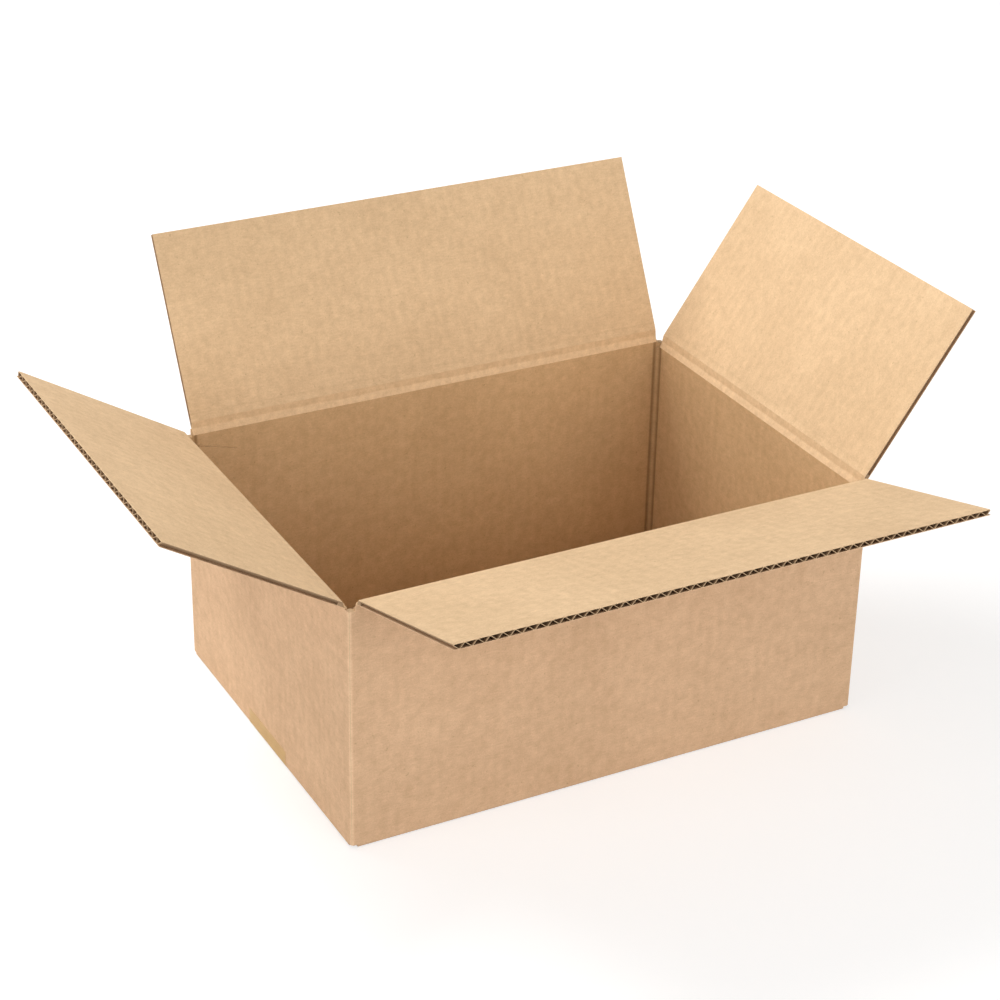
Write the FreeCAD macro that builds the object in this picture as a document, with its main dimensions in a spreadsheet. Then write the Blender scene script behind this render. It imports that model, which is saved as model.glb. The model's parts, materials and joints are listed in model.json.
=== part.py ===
# Open corrugated carton: four walls, folded bottom flaps and four hinged top flaps.
# Frame in millimetres: +Z up, origin on the ground under the middle of the carton.
# The front long wall faces -Y and the left short wall faces -X.
import FreeCAD, Part
import os
import Sketcher

document = FreeCAD.newDocument("OpenCarton")
sheet = document.addObject("Spreadsheet::Sheet", "Sizes")


class Size:
    """A length with its value and the formula that ties it to the sheet."""

    def __init__(self, value, formula):
        self.value = value
        self.formula = formula

    def joined(self, sign, other, value):
        right = other.formula if isinstance(other, Size) else str(other)
        return Size(value, f"({self.formula} {sign} {right})")

    def __add__(self, other):
        return self.joined("+", other, self.value + plain(other))

    def __sub__(self, other):
        return self.joined("-", other, self.value - plain(other))

    def __mul__(self, other):
        return self.joined("*", other, self.value * plain(other))

    def __truediv__(self, other):
        return self.joined("/", other, self.value / plain(other))

    def __neg__(self):
        return self * -1

    def whole(self):
        return Size(round(self.value), f"round({self.formula})")


def plain(number):
    return number.value if isinstance(number, Size) else number


def size(alias, value):
    """Write one driving dimension to the next row of the sheet."""
    size.row += 1
    cell = f"B{size.row}"
    sheet.set(f"A{size.row}", alias)
    sheet.set(cell, str(value))
    sheet.setAlias(cell, alias)
    return Size(value, f"Sizes.{alias}")


size.row = 0

# Carton blank
carton_length = size("carton_length", 311)
carton_width = size("carton_width", 221)
score_height = size("score_height", 143)
flap_length = size("flap_length", 110)
slot_width = size("slot_width", 9)
slot_depth = size("slot_depth", 2)

# Corrugated board
board = size("board", 3)
flute_pitch = size("flute_pitch", 6.45)
liner = size("liner", 0.3)
medium = size("medium", 0.25)
flute_base = size("flute_base", 5.4)
flute_crest = size("flute_crest", 0.6)
crushed_score = size("crushed_score", 5)

# Folds and the gaps that let the flaps lie on each other
hinge_gap = size("hinge_gap", 0.1)
score_clearance = size("score_clearance", 0.1)
layer_gap = size("layer_gap", 0.3)
slot_clearance = size("slot_clearance", 0.5)
seam_gap = size("seam_gap", 1.5)
fold_radius = size("fold_radius", 1.5)
fold_land = size("fold_land", 1.7)
fold_rise = size("fold_rise", 2)
corner_radius = size("corner_radius", 2)
corner_crease = size("corner_crease", 2.6)

# Glued tab inside the back wall
tab_width = size("tab_width", 30)
tab_thickness = size("tab_thickness", 1.8)
tab_inset = size("tab_inset", 8)
tab_taper = size("tab_taper", 7)

# Tape along the bottom seam
tape_width = size("tape_width", 50)
tape_thickness = size("tape_thickness", 0.1)
tape_turn_up = size("tape_turn_up", 10)

# Opening angles of the top flaps: 0 is closed, 90 is upright
open_front = size("open_front", 163.9)
open_back = size("open_back", 117.2)
open_left = size("open_left", 148.9)
open_right = size("open_right", 125)

document.recompute()

# Heights and places that follow from the driving dimensions
underside = tape_thickness
end_x = carton_length / 2
side_y = carton_width / 2
score_offset = board + layer_gap
long_axis = score_height + score_offset / 2
short_axis = score_height - score_offset / 2
notch_height = score_height - slot_depth
corner_run = slot_width / 2 - slot_clearance
bottom_flap_reach = carton_width / 2 - seam_gap / 2


def origin_part(body, role):
    return next(item for item in body.Origin.OriginFeatures if item.Role == role)


def new_body(name):
    body = document.addObject("PartDesign::Body", name)
    body.Label = name
    return body


def new_sketch(body, name, role, height=None):
    sketch = body.newObject("Sketcher::SketchObject", name)
    sketch.AttachmentSupport = [(origin_part(body, role), "")]
    sketch.MapMode = "FlatFace"
    if height is not None:
        sketch.setExpression("AttachmentOffset.Base.z", height.formula)
    return sketch


def draw_outline(sketch, points):
    """Add a closed outline whose corners are tied to the sheet."""
    first = sketch.GeometryCount
    count = len(points)
    corners = [FreeCAD.Vector(across.value, up.value, 0) for across, up in points]
    for index in range(count):
        sketch.addGeometry(Part.LineSegment(corners[index], corners[(index + 1) % count]), False)
    for index in range(count):
        following = first + (index + 1) % count
        sketch.addConstraint(Sketcher.Constraint("Coincident", first + index, 2, following, 1))
    for index, (across, up) in enumerate(points):
        for direction, distance in (("DistanceX", across), ("DistanceY", up)):
            rule = Sketcher.Constraint(direction, -1, 1, first + index, 1, distance.value)
            number = sketch.addConstraint(rule)
            sketch.setExpression(f"Constraints[{number}]", distance.formula)


def pad_symmetric(body, name, sketch, length):
    pad = body.newObject("PartDesign::Pad", name)
    pad.Profile = sketch
    pad.SideType = "Symmetric"
    pad.setExpression("Length", length.formula)
    document.recompute()
    return pad


def pad_up(body, name, sketch, length):
    pad = body.newObject("PartDesign::Pad", name)
    pad.Profile = sketch
    pad.setExpression("Length", length.formula)
    document.recompute()
    return pad


def mirror(body, name, features, role):
    mirrored = body.newObject("PartDesign::Mirrored", name)
    mirrored.Originals = features
    mirrored.MirrorPlane = (origin_part(body, role), [""])
    body.Tip = mirrored
    document.recompute()
    return mirrored


def mirror_twice(body, name, feature):
    """Repeat a corner feature in all four corners."""
    across = body.newObject("PartDesign::MultiTransform", name)
    across.Originals = [feature]
    steps = []
    for suffix, role in (("_x", "YZ_Plane"), ("_y", "XZ_Plane")):
        step = body.newObject("PartDesign::Mirrored", name + suffix)
        step.MirrorPlane = (origin_part(body, role), [""])
        steps.append(step)
    across.Transformations = steps
    body.Tip = across
    document.recompute()
    return across


def edges_along(shape, axis, places):
    """Names of the straight edges along an axis that lie on the given places."""
    names = []
    for number, edge in enumerate(shape.Edges, 1):
        start, end = edge.Vertexes[0].Point, edge.Vertexes[-1].Point
        if abs(end[axis] - start[axis]) < 1:
            continue
        for place in places:
            offsets = [abs(start[side] - value) + abs(end[side] - value) for side, value in place]
            if max(offsets) < 0.01:
                names.append(f"Edge{number}")
    return names


def fillet(body, name, base, edges, radius):
    rounded = body.newObject("PartDesign::Fillet", name)
    rounded.Base = (base, edges)
    rounded.setExpression("Radius", radius.formula)
    body.Tip = rounded
    document.recompute()
    return rounded


# Walls with their bottom flaps folded in, all one sheet of board
def build_carton():
    body = new_body("carton_body")

    wall_top = long_axis - hinge_gap - score_clearance
    long_profile = new_sketch(body, "long_wall_section", "YZ_Plane")
    draw_outline(long_profile, [
        (-side_y, wall_top),
        (-side_y, underside),
        (-seam_gap / 2, underside),
        (-seam_gap / 2, underside + board),
        (board - side_y, underside + board),
        (board - side_y, wall_top - board),
    ])
    long_wall = pad_symmetric(body, "long_wall", long_profile, carton_length - corner_run * 2)
    mirror(body, "long_walls", [long_wall], "XZ_Plane")

    end_top = short_axis - hinge_gap - score_clearance
    inner_layer = underside + board + layer_gap
    short_profile = new_sketch(body, "short_wall_section", "XZ_Plane")
    draw_outline(short_profile, [
        (-end_x, end_top),
        (-end_x, underside),
        (fold_land - end_x, underside),
        (fold_land + fold_rise - end_x, inner_layer),
        (bottom_flap_reach - end_x, inner_layer),
        (bottom_flap_reach - end_x, inner_layer + board),
        (board - end_x, inner_layer + board),
        (board - end_x, end_top - board),
    ])
    short_wall = pad_symmetric(body, "short_wall", short_profile, carton_width - corner_run * 2)
    mirror(body, "short_walls", [short_wall], "YZ_Plane")

    # Walls meet at the corners, where the slots leave them a little lower
    lift = fold_radius + slot_clearance
    corner_profile = new_sketch(body, "corner_section", "XY_Plane", underside + lift)
    draw_outline(corner_profile, [
        (-end_x, -side_y),
        (corner_run - end_x, -side_y),
        (corner_run - end_x, board - side_y),
        (board - end_x, corner_run - side_y),
        (-end_x, corner_run - side_y),
    ])
    corner = pad_up(body, "corner", corner_profile, notch_height - underside - lift)
    mirror_twice(body, "corners", corner)

    # The crushed score stands proud as a facet inside each corner
    crease_base = inner_layer + board - score_clearance
    crease_top = end_top - board - score_clearance
    crease_profile = new_sketch(body, "crease_section", "XY_Plane", crease_base)
    draw_outline(crease_profile, [
        (board - end_x, board - side_y),
        (board + corner_crease - end_x, board - side_y),
        (board - end_x, board + corner_crease - side_y),
    ])
    crease = pad_up(body, "crease", crease_profile, crease_top - crease_base)
    mirror_twice(body, "creases", crease)

    # The glued tab joins the left wall to the back wall
    tab_base = crease_base + tab_inset
    tab_top = crease_top - tab_inset / 4
    tab_profile = new_sketch(body, "tab_outline", "XZ_Plane", board - side_y)
    draw_outline(tab_profile, [
        (board - end_x, tab_base),
        (tab_width - end_x, tab_base + tab_taper),
        (tab_width - end_x, tab_top - tab_taper),
        (board - end_x, tab_top),
    ])
    tab = pad_up(body, "glued_tab", tab_profile, tab_thickness)
    body.Tip = tab
    document.recompute()

    x, y, low = end_x.value, side_y.value, underside.value
    folds = edges_along(tab.Shape, 0, [[(1, -y), (2, low)], [(1, y), (2, low)]])
    folds += edges_along(tab.Shape, 1, [[(0, -x), (2, low)], [(0, x), (2, low)]])
    folded = fillet(body, "bottom_folds", tab, folds, fold_radius)
    corners = [[(0, x * side), (1, y * end)] for side in (-1, 1) for end in (-1, 1)]
    uprights = edges_along(folded.Shape, 2, corners)
    fillet(body, "upright_folds", folded, uprights, corner_radius)
    return body


# Tape under the bottom seam, turned up at both ends
def build_tape():
    body = new_body("bottom_tape")
    outer = end_x + tape_thickness
    profile = new_sketch(body, "tape_section", "XZ_Plane")
    draw_outline(profile, [
        (-outer, underside - tape_thickness),
        (outer, underside - tape_thickness),
        (outer, tape_turn_up),
        (end_x, tape_turn_up),
        (end_x, underside),
        (-end_x, underside),
        (-end_x, tape_turn_up),
        (-outer, tape_turn_up),
    ])
    strip = pad_symmetric(body, "strip", profile, tape_width)
    inside = [[(0, end_x.value * side), (2, underside.value)] for side in (-1, 1)]
    outside = [[(0, outer.value * side), (2, 0)] for side in (-1, 1)]
    inner = fillet(body, "inner_turn", strip, edges_along(strip.Shape, 1, inside), fold_radius)
    turns = edges_along(inner.Shape, 1, outside)
    fillet(body, "outer_turn", inner, turns, fold_radius + tape_thickness)
    return body


# One top flap, drawn upright on its hinge and then swung open
def build_flap(name, panel_width, place, turn, opening):
    body = new_body(name)
    outside = hinge_gap
    inside = hinge_gap + board
    section = new_sketch(body, f"{name}_section", "YZ_Plane")
    draw_outline(section, [
        (outside, outside + score_clearance),
        (inside, inside + score_clearance),
        (inside, flap_length),
        (outside, flap_length),
    ])
    pad_symmetric(body, f"{name}_board", section, panel_width)

    rows = (panel_width / flute_pitch).whole()
    first = -(rows * flute_pitch / 2)
    channels = new_sketch(body, f"{name}_flute_section", "XY_Plane", flap_length)
    for middle, foot, crest in (
        (first, outside + liner, inside - liner - medium),
        (first + flute_pitch / 2, inside - liner, outside + liner + medium),
    ):
        draw_outline(channels, [
            (middle - flute_base / 2, foot),
            (middle + flute_base / 2, foot),
            (middle + flute_crest / 2, crest),
            (middle - flute_crest / 2, crest),
        ])
    flute = body.newObject("PartDesign::Pocket", f"{name}_flute")
    flute.Profile = channels
    flute.setExpression("Length", (flap_length - crushed_score).formula)
    document.recompute()

    flutes = body.newObject("PartDesign::LinearPattern", f"{name}_flutes")
    flutes.Originals = [flute]
    flutes.Direction = (origin_part(body, "X_Axis"), [""])
    flutes.Mode = "Spacing"
    flutes.setExpression("Offset", flute_pitch.formula)
    flutes.setExpression("Occurrences", (rows + 1).formula)
    body.Tip = flutes

    spot = "; ".join(distance.formula for distance in place)
    swing = f"rotation(vector(0; 0; 1); {turn}) * rotation(vector(1; 0; 0); {opening.formula} - 90)"
    body.setExpression("Placement", f"placement(vector({spot}); {swing})")
    document.recompute()
    return body


# Export, after every object has been found sound
def export_parts(bodies):
    for item in document.Objects:
        if "Invalid" in item.State or "Error" in item.State:
            raise RuntimeError(f"{item.Name} is {item.State}")
    os.makedirs("parts", exist_ok=True)
    for body in bodies:
        shape = body.Shape
        if shape.isNull() or not shape.isValid() or len(shape.Solids) != 1:
            raise RuntimeError(f"{body.Label} isn't one sound solid")
        shape.exportStep(f"parts/{body.Label}.step")


middle = carton_length * 0
long_panel = carton_length - slot_width
short_panel = carton_width - slot_width
hinge_y = side_y + hinge_gap
hinge_x = end_x + hinge_gap

bodies = [build_carton(), build_tape()]
for name, panel_width, place, turn, opening in (
    ("top_flap_front", long_panel, (middle, -hinge_y, long_axis), 0, open_front),
    ("top_flap_right", short_panel, (hinge_x, middle, short_axis), 90, open_right),
    ("top_flap_back", long_panel, (middle, hinge_y, long_axis), 180, open_back),
    ("top_flap_left", short_panel, (-hinge_x, middle, short_axis), -90, open_left),
):
    bodies.append(build_flap(name, panel_width, place, turn, opening))
export_parts(bodies)
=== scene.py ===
# Looks of the open corrugated carton: kraft board, crushed folds, tape, studio and camera.
import bpy
import json
import math
from collections import namedtuple
from mathutils import Matrix, Vector


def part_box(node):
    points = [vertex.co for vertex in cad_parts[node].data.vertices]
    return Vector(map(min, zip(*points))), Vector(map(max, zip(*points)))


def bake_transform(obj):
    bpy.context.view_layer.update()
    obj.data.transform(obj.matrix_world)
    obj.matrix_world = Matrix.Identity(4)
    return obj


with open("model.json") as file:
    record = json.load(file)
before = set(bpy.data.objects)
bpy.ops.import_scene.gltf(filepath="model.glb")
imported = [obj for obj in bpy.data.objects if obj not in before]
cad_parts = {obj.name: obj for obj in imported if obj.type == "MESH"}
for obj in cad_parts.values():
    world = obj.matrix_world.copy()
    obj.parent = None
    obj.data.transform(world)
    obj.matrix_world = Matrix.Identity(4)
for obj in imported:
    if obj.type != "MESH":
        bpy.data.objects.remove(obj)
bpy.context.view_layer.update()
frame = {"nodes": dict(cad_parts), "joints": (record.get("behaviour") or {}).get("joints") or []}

# The carton, in metres
BOARD = 0.003
HINGE_GAP = 0.0001
FLUTE_PITCH = 0.00645
FLAP_LENGTH = 0.110
BODY_LOW, BODY_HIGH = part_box("carton_body")
HALF_LENGTH = (BODY_HIGH.x - BODY_LOW.x) / 2
HALF_WIDTH = (BODY_HIGH.y - BODY_LOW.y) / 2
UP = Vector((0, 0, 1))

# Crushed board in the folds
CRUSHED_BOARD = 0.0013
SCORE_HOLLOW = 0.0003
SCORE_STEPS = 8
SCORE_END_INSET = 0.0046
BAND_WIDTH = 0.0034
BAND_FADE = 0.0008
BAND_TONES = (1.10, 0.985)

# Score along the root of a flap: its reach, the share where it fades, and the line beyond it
SCORE_ZONE = 0.0068
SCORE_FADE = 0.82
SCORE_LINE_AT = 1.12
SCORE_LINE = 0.035
LINE_CORE = 0.0002
LINE_EDGE = 0.0009

# Painted shade of the creases inside the corners, and scuffs outside them
CREASE_REACH = 0.0029
CREASE_CORE = 0.0003
CREASE_EDGE = 0.0013
CREASE_SHADE = 0.42
FACET_REACH = 0.0024
FACET_SHADE = 0.16
SCUFF_CORE = 0.0006
SCUFF_EDGE = 0.0022
SCUFF_LIFT = 0.16

# Depths in the sheet between which a cut edge turns into a liner
LINER_NEAR = 0.0002
LINER_FAR = 0.0004

# Distances from a flap's free edge between which the cut grows pale
PALE_FROM = 0.0014
PALE_FULL = 0.0002

# Camera, as the photograph was taken
CAMERA_AT = Vector((-0.5918, -1.0789, 0.7544))
CAMERA_AZIMUTH = math.radians(-28.21)
CAMERA_ELEVATION = math.radians(27.396)
CAMERA_ROLL = math.radians(1.097)
CAMERA_LENS = 89.72
SENSOR = 36.0

# Colours
INSIDE_KRAFT = (0.79, 0.56, 0.335)
# The walls' inner liner is the flaps' board darkened with painted shade for the shade inside the box
INSIDE_WALL_PAINTED_SHADE_KRAFT = (0.65, 0.44, 0.24)
OUTSIDE_KRAFT = (0.72, 0.475, 0.29)
# The fluting paper's own brown, darkened with painted shade of the open flute channels along the cut edges
FLUTE_BROWN_WITH_PAINTED_SHADE = (0.37, 0.245, 0.145)
CUT_EDGE = (0.56, 0.385, 0.23)
TAPE_TINT = (0.66, 0.42, 0.17)
WARMTH = (1.0, 1.15, 1.35)

# Finish of each surface, and the depth in metres of what shows in its relief
Finish = namedtuple("Finish", "roughness specular bump")
BOARD_FINISH = Finish(0.86, 0.22, 0.42)
SCORE_FINISH = Finish(0.88, 0.2, 0.4)
TAPE_FINISH = Finish(0.28, 0.5, 0.3)
FLAP_RELIEF = {"formation": 0.00010, "fine": 0.00004, "ridge": 0.000006, "band": -0.00012}
WALL_RELIEF = {"formation": 0.00013, "fine": 0.00004, "ridge": 0.000007}
SCORE_RELIEF = {"formation": 0.0003, "ridge": 0.00001}
TAPE_RELIEF = {"wrinkles": 0.0003}

# Darkest and lightest tone of the faint washboarding over the flutes
FLAP_RIDGE_TONES = (0.988, 1.012)
WALL_RIDGE_TONES = (0.99, 1.01)
SCORE_RIDGE_TONES = (0.985, 1.01)

# Paper: each layer of mottling has the noise it comes from and the tones it spans
Mottle = namedtuple("Mottle", "scale detail roughness low high darkest lightest")
FLAP_PAPER = {
    "broad": Mottle(14.0, 2.0, 0.6, 0.35, 0.65, 0.965, 1.03),
    "formation": Mottle(190.0, 3.0, 0.55, 0.3, 0.7, 0.94, 1.055),
    "fine": Mottle(1150.0, 3.0, 0.7, 0.3, 0.7, 0.93, 1.06),
    "fibre": Mottle(1.0, 4.0, 0.7, 0.33, 0.68, 0.95, 1.045),
    "specks": Mottle(620.0, 2.0, 0.5, 0.69, 0.76, 1.0, 0.80),
}
WALL_PAPER = {
    "broad": Mottle(12.0, 2.0, 0.6, 0.35, 0.65, 0.96, 1.035),
    "formation": Mottle(170.0, 3.0, 0.55, 0.3, 0.7, 0.93, 1.06),
    "fine": Mottle(1150.0, 3.0, 0.7, 0.3, 0.7, 0.92, 1.07),
    "fibre": Mottle(1.0, 4.0, 0.7, 0.33, 0.68, 0.95, 1.045),
    "specks": Mottle(620.0, 2.0, 0.5, 0.69, 0.76, 1.0, 0.82),
}
SCORE_PAPER = {
    "formation": Mottle(260.0, 3.0, 0.6, 0.3, 0.7, 0.90, 1.06),
    "fine": Mottle(1100.0, 3.0, 0.7, 0.3, 0.7, 0.93, 1.06),
}
TAPE_WRINKLES = Mottle(120.0, 3.0, 0.6, 0.3, 0.7, 0.93, 1.05)
FLAP_FIBRE = (260.0, 900.0, 900.0)
WALL_FIBRE = (260.0, 260.0, 1100.0)
FLAP_WOBBLE = Mottle(90.0, 2.0, 0.6, 0.3, 0.7, -0.0004, 0.0004)
SCORE_WOBBLE = Mottle(70.0, 2.0, 0.6, 0.3, 0.7, -0.0004, 0.0004)

# Studio light
HORIZON_LIGHT = 1.0
ZENITH_LIGHT = 0.3
ZENITH_HEIGHT = 0.9
DOME_TINT = (1.0, 0.995, 0.985, 1.0)
WHITE = (1.0, 1.0, 1.0, 1.0)
AIM = (0, 0, 0.1)
Softbox = namedtuple("Softbox", "place width power")
SOFTBOXES = {
    "key": Softbox((-2.4, -0.2, 0.8), 1.6, 17.0),
    "top": Softbox((-0.8, 1.3, 2.0), 1.0, 31.0),
    "fill": Softbox((0.3, -2.4, 0.9), 1.6, 20.0),
}
FLOOR_GREY = 0.6
FLOOR_GLOW = 0.56
FLOOR_REACH = 30.0
FLOOR_DROP = 0.00005


# Small steps that every material is made of
def feed(tree, socket, value):
    """Set a socket to a plain value, or link it to another node's output."""
    if isinstance(value, bpy.types.NodeSocket):
        tree.links.new(value, socket)
    elif isinstance(value, tuple) and len(value) == 3 and socket.type == "RGBA":
        socket.default_value = (*value, 1.0)
    else:
        socket.default_value = value


def math_node(tree, operation, *values):
    node = tree.nodes.new("ShaderNodeMath")
    node.operation = operation
    for socket, value in zip(node.inputs, values):
        feed(tree, socket, value)
    return node.outputs[0]


def times(tree, *factors):
    product = factors[0]
    for factor in factors[1:]:
        product = math_node(tree, "MULTIPLY", product, factor)
    return product


def without(tree, shade):
    """The brightness that is left where a shade from 0 to 1 lies on it."""
    return math_node(tree, "SUBTRACT", 1.0, shade)


def ramp(tree, source, low, high, bottom=0.0, top=1.0):
    node = tree.nodes.new("ShaderNodeMapRange")
    for name, value in (("Value", source), ("From Min", low), ("From Max", high),
                        ("To Min", bottom), ("To Max", top)):
        feed(tree, node.inputs[name], value)
    return node.outputs[0]


def mottling(tree, position, layer):
    node = tree.nodes.new("ShaderNodeTexNoise")
    for name, value in (("Vector", position), ("Scale", layer.scale), ("Detail", layer.detail),
                        ("Roughness", layer.roughness)):
        feed(tree, node.inputs[name], value)
    return ramp(tree, node.outputs["Fac"], layer.low, layer.high, layer.darkest, layer.lightest)


def stretched(tree, position, scale):
    mapping = tree.nodes.new("ShaderNodeMapping")
    feed(tree, mapping.inputs["Scale"], scale)
    feed(tree, mapping.inputs["Vector"], position)
    return mapping.outputs[0]


def mixed(tree, factor, first, second, kind="MIX"):
    node = tree.nodes.new("ShaderNodeMix")
    node.data_type = "RGBA"
    node.blend_type = kind
    for socket, value in ((node.inputs[0], factor), (node.inputs[6], first), (node.inputs[7], second)):
        feed(tree, socket, value)
    return node.outputs[2]


def toned(tree, colour, tone):
    """A colour at a brightness, a little warmer where it is darker."""
    combine = tree.nodes.new("ShaderNodeCombineColor")
    for socket, strength in zip(combine.inputs, WARMTH):
        feed(tree, socket, math_node(tree, "POWER", tone, strength))
    return mixed(tree, 1.0, colour, combine.outputs[0], "MULTIPLY")


def distance_along(tree, position, start, direction):
    """How far a point lies from start along a direction, in metres."""
    offset = tree.nodes.new("ShaderNodeVectorMath")
    offset.operation = "SUBTRACT"
    feed(tree, offset.inputs[0], position)
    feed(tree, offset.inputs[1], start)
    dot = tree.nodes.new("ShaderNodeVectorMath")
    dot.operation = "DOT_PRODUCT"
    feed(tree, dot.inputs[0], offset.outputs[0])
    feed(tree, dot.inputs[1], direction)
    return dot.outputs["Value"]


def flute_ridges(tree, along):
    """A wave from -1 to 1 with the pitch of the flutes."""
    return math_node(tree, "SINE", math_node(tree, "MULTIPLY", along, 2 * math.pi / FLUTE_PITCH))


def new_material(name, finish):
    material = bpy.data.materials.new(name)
    material.use_nodes = True
    tree = material.node_tree
    shader = tree.nodes["Principled BSDF"]
    shader.inputs["Roughness"].default_value = finish.roughness
    shader.inputs["Specular IOR Level"].default_value = finish.specular
    position = tree.nodes.new("ShaderNodeTexCoord").outputs["Object"]
    return material, tree, shader, position


def add_relief(tree, shader, finish, sources, depths):
    """Bump from named sources of height, each with its depth in metres."""
    relief = 0.0
    for name, depth in depths.items():
        relief = math_node(tree, "MULTIPLY_ADD", sources[name], depth, relief)
    bump = tree.nodes.new("ShaderNodeBump")
    bump.inputs["Strength"].default_value = finish.bump
    bump.inputs["Distance"].default_value = 1.0
    feed(tree, bump.inputs["Height"], relief)
    feed(tree, shader.inputs["Normal"], bump.outputs[0])


def paper_layers(tree, position, paper, fibre_scale=None):
    layers = {}
    for name, layer in paper.items():
        place = stretched(tree, position, fibre_scale) if name == "fibre" else position
        layers[name] = mottling(tree, place, layer)
    return layers


# Kraft board of one flap
def flap_kraft(side, flap):
    material, tree, shader, position = new_material(f"kraft_flap_{side}", BOARD_FINISH)
    across = distance_along(tree, position, flap.pivot, flap.axis)
    height = distance_along(tree, position, flap.pivot, flap.up)
    depth = distance_along(tree, position, flap.pivot, flap.inward)

    paper = paper_layers(tree, position, FLAP_PAPER, FLAP_FIBRE)
    ridge = flute_ridges(tree, across)
    ridge_tone = ramp(tree, ridge, -1.0, 1.0, *FLAP_RIDGE_TONES)

    # Crushed score: a lighter band with a fine darker line at its far edge
    wobble = mottling(tree, position, FLAP_WOBBLE)
    spread = math_node(tree, "ABSOLUTE", math_node(tree, "ADD", height, wobble))
    band = ramp(tree, spread, SCORE_ZONE * SCORE_FADE, SCORE_ZONE, 1.0, 0.0)
    band_tone = math_node(tree, "MULTIPLY_ADD", band, SCORE_LINE / 2, 1.0)
    from_line = math_node(tree, "ABSOLUTE", math_node(tree, "SUBTRACT", spread, SCORE_ZONE * SCORE_LINE_AT))
    line = ramp(tree, from_line, LINE_CORE, LINE_EDGE, SCORE_LINE, 0.0)
    tone = times(tree, *paper.values(), ridge_tone, band_tone, without(tree, line))

    # Liners, and between them the cut edges and the insides of the flutes, whose brown is the fluting paper
    # with painted shade of the open channels
    inner_face = HINGE_GAP + BOARD
    middle = HINGE_GAP + BOARD / 2
    inside = ramp(tree, depth, inner_face - LINER_FAR, inner_face - LINER_NEAR)
    outside = ramp(tree, depth, HINGE_GAP + LINER_NEAR, HINGE_GAP + LINER_FAR, 1.0, 0.0)
    on_liner = math_node(tree, "MAXIMUM", inside, outside)
    half = ramp(tree, depth, middle - LINER_NEAR, middle + LINER_NEAR)
    liner = mixed(tree, half, OUTSIDE_KRAFT, INSIDE_KRAFT)
    at_end = ramp(tree, height, FLAP_LENGTH - PALE_FROM, FLAP_LENGTH - PALE_FULL)
    cut = mixed(tree, at_end, FLUTE_BROWN_WITH_PAINTED_SHADE, CUT_EDGE)
    colour = mixed(tree, on_liner, cut, liner)
    feed(tree, shader.inputs["Base Color"], toned(tree, colour, tone))

    add_relief(tree, shader, BOARD_FINISH, {**paper, "ridge": ridge, "band": band}, FLAP_RELIEF)
    return material


# Kraft board of the walls: its liners are told apart by where the walls are
def wall_kraft():
    material, tree, shader, position = new_material("kraft_walls", BOARD_FINISH)
    split = tree.nodes.new("ShaderNodeSeparateXYZ")
    feed(tree, split.inputs[0], position)
    x, y, z = split.outputs

    paper = paper_layers(tree, position, WALL_PAPER, WALL_FIBRE)
    ridge = flute_ridges(tree, math_node(tree, "ADD", x, y))
    ridge_tone = ramp(tree, ridge, -1.0, 1.0, *WALL_RIDGE_TONES)
    tone = times(tree, *paper.values(), ridge_tone)

    # Scuffed lighter corners outside
    from_end = math_node(tree, "SUBTRACT", HALF_LENGTH, math_node(tree, "ABSOLUTE", x))
    from_side = math_node(tree, "SUBTRACT", HALF_WIDTH, math_node(tree, "ABSOLUTE", y))
    corner = math_node(tree, "MAXIMUM", from_end, from_side)
    scuff = ramp(tree, corner, SCUFF_CORE, SCUFF_EDGE, SCUFF_LIFT, 0.0)
    tone = math_node(tree, "ADD", tone, scuff)

    nearest = math_node(tree, "MINIMUM", math_node(tree, "MINIMUM", from_end, from_side), z)
    outside = ramp(tree, nearest, LINER_FAR, LINER_FAR + LINER_NEAR, 1.0, 0.0)
    inside = ramp(tree, nearest, BOARD - LINER_FAR - LINER_NEAR, BOARD - LINER_FAR)

    # Painted shade: dark creases on both sides of the crushed fold inside each corner, and a darker facet
    # between them
    from_crease = math_node(tree, "ABSOLUTE", math_node(tree, "SUBTRACT", corner, BOARD + CREASE_REACH))
    painted_crease_shade = ramp(tree, from_crease, CREASE_CORE, CREASE_EDGE, CREASE_SHADE, 0.0)
    painted_crease_shade = times(tree, painted_crease_shade, inside)
    painted_facet_shade = ramp(tree, corner, BOARD + FACET_REACH, BOARD + CREASE_REACH, FACET_SHADE, 0.0)
    painted_facet_shade = times(tree, painted_facet_shade, inside)
    tone = times(tree, tone, without(tree, painted_crease_shade), without(tree, painted_facet_shade))

    # The inner liner's darker colour is painted shade inside the box
    liner = mixed(tree, outside, INSIDE_WALL_PAINTED_SHADE_KRAFT, OUTSIDE_KRAFT)
    colour = mixed(tree, math_node(tree, "MAXIMUM", inside, outside), CUT_EDGE, liner)
    feed(tree, shader.inputs["Base Color"], toned(tree, colour, tone))

    add_relief(tree, shader, BOARD_FINISH, {**paper, "ridge": ridge}, WALL_RELIEF)
    return material


# Crushed liner in a fold, lighter along the wall
def score_kraft(side, flap):
    material, tree, shader, position = new_material(f"kraft_score_{side}", SCORE_FINISH)
    ridge = flute_ridges(tree, distance_along(tree, position, flap.pivot, flap.axis))
    ridge_tone = ramp(tree, ridge, -1.0, 1.0, *SCORE_RIDGE_TONES)
    paper = paper_layers(tree, position, SCORE_PAPER)

    across_fold = (flap.flap_edge - flap.wall_edge).normalized()
    reach = distance_along(tree, position, flap.wall_edge, across_fold)
    reach = math_node(tree, "ADD", reach, mottling(tree, position, SCORE_WOBBLE))
    band_tone = ramp(tree, reach, BAND_WIDTH, BAND_WIDTH + BAND_FADE, *BAND_TONES)

    tone = times(tree, *paper.values(), ridge_tone, band_tone)
    feed(tree, shader.inputs["Base Color"], toned(tree, INSIDE_KRAFT, tone))
    add_relief(tree, shader, SCORE_FINISH, {**paper, "ridge": ridge}, SCORE_RELIEF)
    return material


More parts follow.
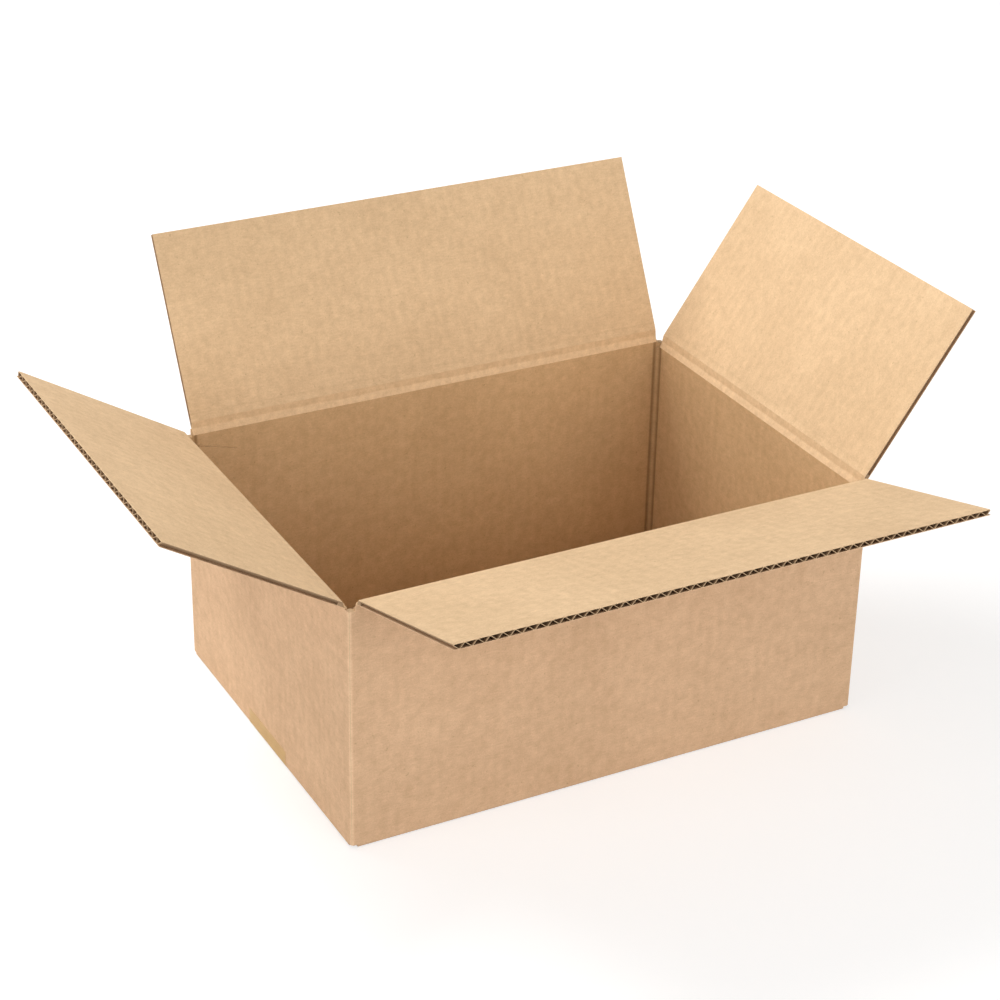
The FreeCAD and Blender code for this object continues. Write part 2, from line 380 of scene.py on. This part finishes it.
def tape_film():
    material, tree, shader, position = new_material("tape_film", TAPE_FINISH)
    wrinkles = mottling(tree, position, TAPE_WRINKLES)
    feed(tree, shader.inputs["Base Color"], toned(tree, TAPE_TINT, wrinkles))
    add_relief(tree, shader, TAPE_FINISH, {"wrinkles": wrinkles}, TAPE_RELIEF)
    return material


# Flaps, as the frame's joints place them
Flap = namedtuple("Flap", "pivot axis up inward opened wall_inward wall_edge flap_edge")


def read_flap(joint):
    pivot = Vector(joint["pos_m"])
    axis = Vector(joint["axis"])
    opened = -math.radians(joint["range_deg"][0])
    wall_inward = UP.cross(axis)
    turn = Matrix.Rotation(opened - math.pi / 2, 3, axis)
    up = turn @ UP
    inward = turn @ wall_inward
    wall_edge = pivot + (wall_inward - UP) * BOARD
    flap_edge = pivot + (up + inward) * BOARD
    return Flap(pivot, axis, up, inward, opened, wall_inward, wall_edge, flap_edge)


def set_material(node, material):
    node.data.materials.clear()
    node.data.materials.append(material)


# Crushed board that bridges each fold, bent to the angle its flap is opened to
def score_section(opened):
    """The fold's section as radius and angle from the hinge, along the inner liner and back."""
    reach = math.hypot(HINGE_GAP + BOARD, HINGE_GAP * 2 + BOARD)
    shallow = math.hypot(HINGE_GAP, HINGE_GAP * 2)
    inner = []
    outer = []
    for step in range(SCORE_STEPS + 1):
        share = step / SCORE_STEPS
        angle = -math.pi / 4 + opened * share
        straight = reach * math.cos(opened / 2) / math.cos(opened * (share - 0.5))
        hollow = SCORE_HOLLOW * (1 - (2 * share - 1) ** 2)
        inner.append((max(straight - hollow, CRUSHED_BOARD), angle))
        outer.append((shallow, angle))
    return inner + outer[::-1]


def build_score(side, flap):
    along_length = abs(flap.axis.x) > abs(flap.axis.y)
    half = (HALF_LENGTH if along_length else HALF_WIDTH) - SCORE_END_INSET
    section = score_section(flap.opened)
    vertices = []
    for end in (-half, half):
        for radius, angle in section:
            turned = flap.wall_inward * math.cos(angle) + UP * math.sin(angle)
            vertices.append(flap.pivot + flap.axis * end + turned * radius)
    count = len(section)
    faces = [tuple(range(count)), tuple(reversed(range(count, 2 * count)))]
    for index in range(count):
        following = (index + 1) % count
        faces.append((index, count + index, count + following, following))

    mesh = bpy.data.meshes.new(f"score_{side}")
    mesh.from_pydata(vertices, [], faces)
    mesh.validate()
    mesh.materials.append(score_kraft(side, flap))
    piece = bpy.data.objects.new(f"score_{side}", mesh)
    bpy.context.scene.collection.objects.link(piece)
    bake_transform(piece)


# Studio
def build_floor():
    mesh = bpy.data.meshes.new("studio_floor")
    corners = [(x * FLOOR_REACH, y * FLOOR_REACH, 0) for x, y in ((-1, -1), (1, -1), (1, 1), (-1, 1))]
    mesh.from_pydata(corners, [], [(0, 1, 2, 3)])
    floor = bpy.data.objects.new("studio_floor", mesh)
    floor.location.z = -FLOOR_DROP
    bpy.context.scene.collection.objects.link(floor)

    material = bpy.data.materials.new("studio_floor")
    material.use_nodes = True
    tree = material.node_tree
    tree.nodes.clear()
    output = tree.nodes.new("ShaderNodeOutputMaterial")
    plain = tree.nodes.new("ShaderNodeBsdfDiffuse")
    plain.inputs["Color"].default_value = (FLOOR_GREY, FLOOR_GREY, FLOOR_GREY, 1.0)
    glow = tree.nodes.new("ShaderNodeEmission")
    glow.inputs["Color"].default_value = WHITE
    glow.inputs["Strength"].default_value = FLOOR_GLOW
    glowing = tree.nodes.new("ShaderNodeAddShader")
    feed(tree, glowing.inputs[0], plain.outputs[0])
    feed(tree, glowing.inputs[1], glow.outputs[0])
    rays = tree.nodes.new("ShaderNodeLightPath")
    choose = tree.nodes.new("ShaderNodeMixShader")
    feed(tree, choose.inputs[0], rays.outputs["Is Camera Ray"])
    feed(tree, choose.inputs[1], plain.outputs[0])
    feed(tree, choose.inputs[2], glowing.outputs[0])
    feed(tree, output.inputs["Surface"], choose.outputs[0])
    mesh.materials.append(material)


def build_world():
    """A dome that is brighter near the horizon, and plain white where it is seen."""
    world = bpy.data.worlds.new("studio")
    bpy.context.scene.world = world
    world.use_nodes = True
    tree = world.node_tree
    tree.nodes.clear()
    output = tree.nodes.new("ShaderNodeOutputWorld")
    direction = tree.nodes.new("ShaderNodeTexCoord").outputs["Generated"]
    split = tree.nodes.new("ShaderNodeSeparateXYZ")
    feed(tree, split.inputs[0], direction)
    dome = tree.nodes.new("ShaderNodeBackground")
    dome.inputs["Color"].default_value = DOME_TINT
    strength = ramp(tree, split.outputs[2], 0.0, ZENITH_HEIGHT, HORIZON_LIGHT, ZENITH_LIGHT)
    feed(tree, dome.inputs["Strength"], strength)
    white = tree.nodes.new("ShaderNodeBackground")
    white.inputs["Strength"].default_value = 1.0
    white.inputs["Color"].default_value = WHITE
    rays = tree.nodes.new("ShaderNodeLightPath").outputs
    seen = math_node(tree, "MAXIMUM", rays["Is Camera Ray"], rays["Is Glossy Ray"])
    seen = math_node(tree, "MAXIMUM", seen, rays["Is Transmission Ray"])
    choose = tree.nodes.new("ShaderNodeMixShader")
    feed(tree, choose.inputs[0], seen)
    feed(tree, choose.inputs[1], dome.outputs[0])
    feed(tree, choose.inputs[2], white.outputs[0])
    feed(tree, output.inputs["Surface"], choose.outputs[0])


def add_softbox(name, box):
    lamp = bpy.data.lights.new(name, "AREA")
    lamp.shape = "SQUARE"
    lamp.size = box.width
    lamp.energy = box.power
    light = bpy.data.objects.new(name, lamp)
    light.location = box.place
    light.rotation_euler = (Vector(AIM) - Vector(box.place)).to_track_quat("-Z", "Y").to_euler()
    bpy.context.scene.collection.objects.link(light)


def build_camera():
    lens = bpy.data.cameras.new("camera")
    lens.lens = CAMERA_LENS
    lens.sensor_width = SENSOR
    camera = bpy.data.objects.new("camera", lens)
    bpy.context.scene.collection.objects.link(camera)
    back = Vector((
        math.sin(CAMERA_AZIMUTH) * math.cos(CAMERA_ELEVATION),
        -math.cos(CAMERA_AZIMUTH) * math.cos(CAMERA_ELEVATION),
        math.sin(CAMERA_ELEVATION),
    ))
    right = UP.cross(back).normalized()
    above = back.cross(right)
    rolled_right = right * math.cos(CAMERA_ROLL) + above * math.sin(CAMERA_ROLL)
    rolled_above = above * math.cos(CAMERA_ROLL) - right * math.sin(CAMERA_ROLL)
    turn = Matrix((rolled_right, rolled_above, back)).transposed()
    camera.matrix_world = Matrix.Translation(CAMERA_AT) @ turn.to_4x4()
    bpy.context.scene.camera = camera


set_material(frame["nodes"]["carton_body"], wall_kraft())
set_material(frame["nodes"]["bottom_tape"], tape_film())
for joint in frame["joints"]:
    side = joint["name"].split("_")[0]
    flap = read_flap(joint)
    set_material(frame["nodes"][f"top_flap_{side}"], flap_kraft(side, flap))
    build_score(side, flap)

build_floor()
build_world()
for name, box in SOFTBOXES.items():
    add_softbox(name, box)
build_camera()
bpy.context.scene.view_settings.view_transform = "Standard"
